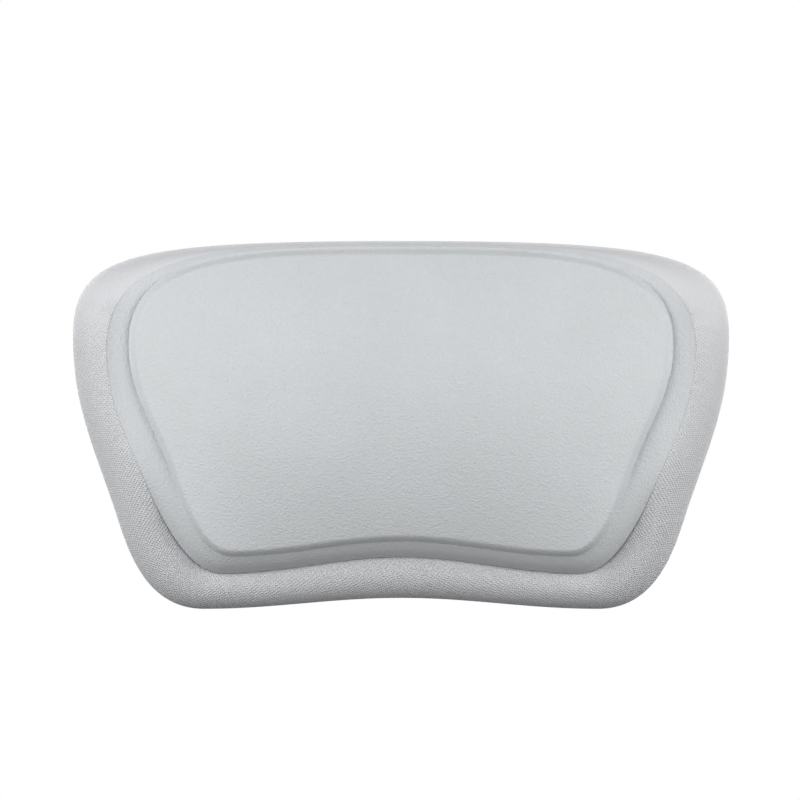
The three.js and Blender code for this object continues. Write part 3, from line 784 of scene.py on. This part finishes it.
def tinted(net, shader, factor, dark, light):
    """Base colour between two tones by a factor."""
    ramp = net.add("ShaderNodeValToRGB", Fac=factor)
    for element, position, tone in zip(ramp.color_ramp.elements, TINT_SPAN, (dark, light)):
        element.position = position
        element.color = (*tone, 1.0)
    net.links.new(ramp.outputs["Color"], shader.inputs["Base Color"])


print("tints run over the factors:", TINT_SPAN)

# %% [markdown]
# ### Flange: woven grain
#
# The mould of the base is etched with a cloth-like grain. Two sines across each other on the surface's
# map give strands in two directions. Noise picks one direction or the other in patches of some
# millimetres, the flanks leaning to one and the lower edge to the other, and the product of both sines
# adds knots. More noise bends the rows and varies their height. The grain grows faint towards the crown
# and ends at the back. A picture of cloth would tile; this doesn't.

# %% Grain rows
GRAIN_PITCH, GRAIN_TURN = 0.0014, 55.0
SWAY, SWAY_SCALE = 0.0007, 260.0


def grain_rows(net):
    """Both directions of the map, swayed by noise, turned, and scaled so that one pitch is one wave."""
    surface = net.add("ShaderNodeUVMap")
    surface.uv_map = "surface"
    sway = net.add("ShaderNodeVectorMath")
    sway.operation = "MULTIPLY_ADD"
    sway.inputs[1].default_value = (SWAY, SWAY, 0.0)
    net.links.new(net.noise(SWAY_SCALE, 1.0, output="Color"), sway.inputs[0])
    net.links.new(surface.outputs["UV"], sway.inputs[2])
    rows = net.add("ShaderNodeMapping", Vector=sway.outputs["Vector"],
                   Rotation=(0.0, 0.0, math.radians(GRAIN_TURN)),
                   Scale=(2 * math.pi / GRAIN_PITCH,) * 3)
    axes = net.add("ShaderNodeSeparateXYZ", Vector=rows.outputs["Vector"])
    return axes.outputs["X"], axes.outputs["Y"]


print("grain pitch in mm:", GRAIN_PITCH / MM)

# %% [markdown]
# The height of the grain adds these patterns up. It serves twice: as relief, and as painted shade, a tint
# that leaves the hollows of the grain a little darker than the strands, where shade would fall.

# %% Flange material
PATCH_SCALE, PATCH_SPAN, UNEVEN_SCALE = 380.0, (0.38, 0.62), 900.0
STRAND_SHARE, KNOT_SHARE, UNEVEN_SHARE = 0.65, 0.75, 1.6
LOWER_EDGE, LOWER_LEAN = (-0.095, -0.065), (0.10, -0.09)
CROWN_FADE, CROWN_GRAIN = (0.028, 0.058), (1.0, 0.3)
BACK_FADE, BACK_GRAIN = (-0.0150, -0.0125), (1.0, 0.0)
# The second share sets how strong the painted shade in the hollows of the grain is.
GRAIN_DEPTH, PIT_SHADE_SHARE, MIDDLE_TONE = 0.0002, 0.27, 0.5


def grain_height(net):
    """Strands one way or the other, plus knots and unevenness, faded towards the crown and the back."""
    warp, weft = (net.math("SINE", row) for row in grain_rows(net))
    position = net.add("ShaderNodeSeparateXYZ", Vector=net.place())
    leaning = net.between(position.outputs["Z"], LOWER_EDGE, LOWER_LEAN)
    patches = net.math("ADD", net.noise(PATCH_SCALE, 1.0), leaning)
    warp_share = net.between(patches, PATCH_SPAN, (0.0, 1.0))
    weft_share = net.math("SUBTRACT", 1.0, warp_share)
    strands = net.math("ADD", net.math("MULTIPLY", warp, warp_share),
                       net.math("MULTIPLY", weft, weft_share))
    knots = net.math("MULTIPLY", warp, weft)
    weave = net.math("ADD", net.math("MULTIPLY", strands, STRAND_SHARE),
                     net.math("MULTIPLY", knots, KNOT_SHARE))
    uneven = net.math("MULTIPLY", net.noise(UNEVEN_SCALE), UNEVEN_SHARE)
    height = net.math("SUBTRACT", net.math("ADD", weave, uneven), 0.5 * UNEVEN_SHARE)
    to_crown = net.between(position.outputs["Z"], CROWN_FADE, CROWN_GRAIN)
    to_back = net.between(position.outputs["Y"], BACK_FADE, BACK_GRAIN)
    return net.math("MULTIPLY", height, net.math("MULTIPLY", to_crown, to_back))


def flange_grain_pit_shade():
    """Light grey foam with the grain in relief, and painted shade that leaves its hollows a little darker
    than its strands.
    """
    made, net, shader = material("flange_grain_pit_shade", (0.635, 0.64, 0.659), 0.62)
    height = grain_height(net)
    relief(net, shader, height, GRAIN_DEPTH)
    # Painted shade: the tint darkens the hollows of the grain, as shade in them would.
    painted_pit_shade = net.math("ADD", net.math("MULTIPLY", height, PIT_SHADE_SHARE), MIDDLE_TONE)
    tinted(net, shader, painted_pit_shade, dark=(0.547, 0.552, 0.569), light=(0.776, 0.781, 0.804))
    return made


base_body.data.materials.clear()
base_body.data.materials.append(flange_grain_pit_shade())
print("flange material:", base_body.data.materials[0].name)

# %% [markdown]
# ### Pad: fine grain over foam
#
# The pad's mould is etched finer, so its grain hardly shows where light falls straight on it and comes up
# towards the lower edge, where light grazes it. Noise in space suits it, because the panel has no
# direction to follow and the pattern keeps its scale on every slope. The filling inside is cream foam
# with open cells, which a Voronoi pattern gives.

# %% Pad materials
def pad_grain():
    """Cool light grey with fine relief and a slight change of tone over some centimetres."""
    made, net, shader = material("pad_grain", (0.62, 0.64, 0.655), 0.58)
    relief(net, shader, net.noise(scale=950.0, roughness=0.55), depth=0.0006)
    tones = net.noise(scale=22.0, detail=3.0)
    tinted(net, shader, tones, dark=(0.605, 0.628, 0.64), light=(0.635, 0.655, 0.67))
    return made


def open_foam_cell_shade():
    """Cells under a millimetre wide, with painted shade darkening their hollow middles."""
    made, net, shader = material("open_foam_cell_shade", (0.80, 0.76, 0.64), 0.95)
    cells = net.add("ShaderNodeTexVoronoi", Vector=net.place(), Scale=1400.0)
    relief(net, shader, cells.outputs["Distance"], depth=0.0003)
    # Painted shade: the tint darkens the middles of the cells, which are the hollows of the relief.
    tinted(net, shader, cells.outputs["Distance"], dark=(0.60, 0.55, 0.43), light=(0.84, 0.80, 0.68))
    return made


pad_skin.data.materials.append(pad_grain())
pad_filling.data.materials.append(open_foam_cell_shade())
print("pad materials:", pad_skin.data.materials[0].name, pad_filling.data.materials[0].name)

# %% [markdown]
# ### Rigid plastics, vinyl and steel
#
# The plate, the board and the caps are mouldings with a faint stipple from a spark-eroded mould, the
# studs are smoother, the cups are clear vinyl, and the screws are bright steel with fine marks.

# %% Back materials
def stippled(name, colour, roughness, depth, spread=0.02):
    """Moulded plastic: fine stipple in relief and a slight change of tone over some centimetres."""
    made, net, shader = material(name, colour, roughness)
    relief(net, shader, net.noise(scale=1600.0), depth)
    dark = tuple(c * (1 - spread) for c in colour)
    light = tuple(min(1.0, c * (1 + spread)) for c in colour)
    tinted(net, shader, net.noise(scale=30.0), dark, light)
    return made


def clear_vinyl():
    """Mostly clear, faintly blue and slightly wavy."""
    made, net, shader = material("clear_vinyl", (0.86, 0.93, 0.95), 0.12, IOR=1.53,
                                 Transmission_Weight=0.85)
    relief(net, shader, net.noise(scale=220.0, detail=1.0), depth=0.00004)
    tones = net.noise(scale=60.0)
    tinted(net, shader, tones, dark=(0.84, 0.92, 0.94), light=(0.88, 0.94, 0.96))
    return made


def bright_steel():
    """Metal with fine marks in relief and in tone."""
    made, net, shader = material("bright_steel", (0.62, 0.63, 0.64), 0.28, Metallic=1.0)
    marks = net.noise(scale=2600.0, detail=3.0)
    relief(net, shader, marks, depth=0.00001)
    tinted(net, shader, marks, dark=(0.56, 0.57, 0.58), light=(0.66, 0.67, 0.68))
    return made


plate_satin = stippled("plate_satin", (0.66, 0.675, 0.685), 0.48, 0.00005)
dark_moulding = stippled("dark_moulding", (0.09, 0.10, 0.106), 0.55, 0.00006, 0.06)
stud_white = stippled("stud_white", (0.83, 0.83, 0.80), 0.32, 0.00001, 0.01)
for pieces, finish in ((cups, clear_vinyl()), (studs, stud_white), (screws, bright_steel())):
    for piece in pieces:
        piece.data.materials.append(finish)
for name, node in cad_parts.items():
    if name in ("carrier_plate", "core_board") or name.startswith("socket_cap"):
        node.data.materials.clear()
        node.data.materials.append(plate_satin if name == "carrier_plate" else dark_moulding)
print("materials:", len(bpy.data.materials))

# %% [markdown]
# ## World and floor
#
# The photograph is a studio shot on white. The world is white for the camera, for reflections and through
# the clear cups, and dim as a light. A pale floor lies well under the pillow, which hangs on its wall.
# For bounced light it is dark, because hardly any reaches the photographed pillow from below.

# %% World and floor
WHITE, AMBIENT = (1.0, 1.0, 1.0, 1.0), (0.29, 0.29, 0.293, 1.0)
FLOOR_Z, FLOOR_REACH, FLOOR_GLOW, FLOOR_BOUNCE = -1.20, 12.0, 0.45, (0.07, 0.07, 0.07, 1.0)

world = bpy.data.worlds.new("studio")
scene.world = world
world.use_nodes = True
net = Net(world.node_tree)
ambient = net.nodes["Background"]
ambient.inputs["Color"].default_value = AMBIENT
path = net.add("ShaderNodeLightPath")
mirrored = net.math("MAXIMUM", path.outputs["Is Glossy Ray"], path.outputs["Is Transmission Ray"])
seen = net.math("MAXIMUM", path.outputs["Is Camera Ray"], mirrored)
net.mixed(seen, ambient, net.add("ShaderNodeBackground", Color=WHITE), "World Output")

corners = FLOOR_REACH * np.array([(-1.0, -1.0, 0.0), (1.0, -1.0, 0.0), (1.0, 1.0, 0.0), (-1.0, 1.0, 0.0)])
floor = new_piece("floor", corners + (0.0, 0.0, FLOOR_Z), [[0, 1, 2, 3]])
pale_floor, net, shader = material("pale_floor", (0.80, 0.80, 0.80), 0.9, Emission_Color=WHITE,
                                   Emission_Strength=FLOOR_GLOW)
path = net.add("ShaderNodeLightPath")
net.mixed(path.outputs["Is Diffuse Ray"], shader, net.add("ShaderNodeBsdfDiffuse", Color=FLOOR_BOUNCE),
          "Material Output")
floor.data.materials.append(pale_floor)
print("floor height in m:", FLOOR_Z)

# %% [markdown]
# ## Light
#
# Two large softboxes stand at the front left and right, the left one stronger, and two weaker ones higher
# up beside them. One overhead catches the top edge, and two behind light the back for other views. Hardly
# anything comes from below, so downward faces go grey. Small lamps would draw hard shadows; large ones
# give the broad shading of the photograph.

# %% Lights
def softbox(name, place, aim, size, energy):
    """Rectangular area lamp at a place, turned so that it faces the aim."""
    lamp = bpy.data.lights.new(name, "AREA")
    lamp.shape = "RECTANGLE"
    lamp.size, lamp.size_y = size
    lamp.energy = energy
    holder = bpy.data.objects.new(name, lamp)
    holder.location = place
    direction = np.array(aim, float) - np.array(place, float)
    flat = math.hypot(direction[0], direction[1])
    holder.rotation_euler = (math.pi / 2 + math.atan2(direction[2], flat), 0.0,
                             math.atan2(-direction[0], direction[1]))
    scene.collection.objects.link(holder)


PAD, ORIGIN = (0.0, -0.03, 0.0), (0.0, 0.0, 0.0)
softbox("softbox_left", (-0.557, -0.532, 0.03), PAD, (0.45, 0.6), 3.82)
softbox("softbox_left_high", (-0.562, -0.213, 0.462), PAD, (0.45, 0.5), 0.5)
softbox("softbox_right", (0.555, -0.530, -0.01), PAD, (0.45, 0.6), 2.91)
softbox("softbox_right_high", (0.657, -0.243, 0.293), PAD, (0.45, 0.5), 1.1)
softbox("softbox_back_left", (-0.30, 1.0, 0.12), ORIGIN, (0.5, 0.6), 4.2)
softbox("softbox_back_right", (0.30, 1.0, 0.12), ORIGIN, (0.5, 0.6), 4.2)
softbox("softbox_top", (0.0, 0.10, 0.80), ORIGIN, (0.8, 0.4), 1.1)
print("lamps:", len(bpy.data.lights))

# %% [markdown]
# ## Camera
#
# The camera looks straight at the front from far away, because a long lens keeps the nested outlines in
# the proportion that the photograph shows. Its scale comes from the width of the pillow in pixels of the
# square picture, at a depth between the back and the crown, and its place from the pillow's offset in the
# picture.

# %% Camera
PICTURE, BODY_PIXELS, BODY_WIDTH = 800, 657.0, 330.0
OFFSET_X, OFFSET_Z = -1.0, 24.0
CAMERA_DISTANCE, SCALE_Y, MIDDLE_Z, CLIP_END = 8.0, -0.025, -0.008, 100.0
PIXEL = BODY_WIDTH / BODY_PIXELS * MM

camera_data = bpy.data.cameras.new("camera")
camera = bpy.data.objects.new("camera", camera_data)
camera_data.lens = camera_data.sensor_width * CAMERA_DISTANCE / (PICTURE * PIXEL)
camera_data.clip_end = CLIP_END
camera.location = (OFFSET_X * PIXEL, SCALE_Y - CAMERA_DISTANCE, OFFSET_Z * PIXEL + MIDDLE_Z)
camera.rotation_euler = (math.pi / 2, 0.0, 0.0)
scene.collection.objects.link(camera)
scene.camera = camera
scene.view_settings.view_transform = "Standard"
print("lens in mm:", round(camera_data.lens, 1))
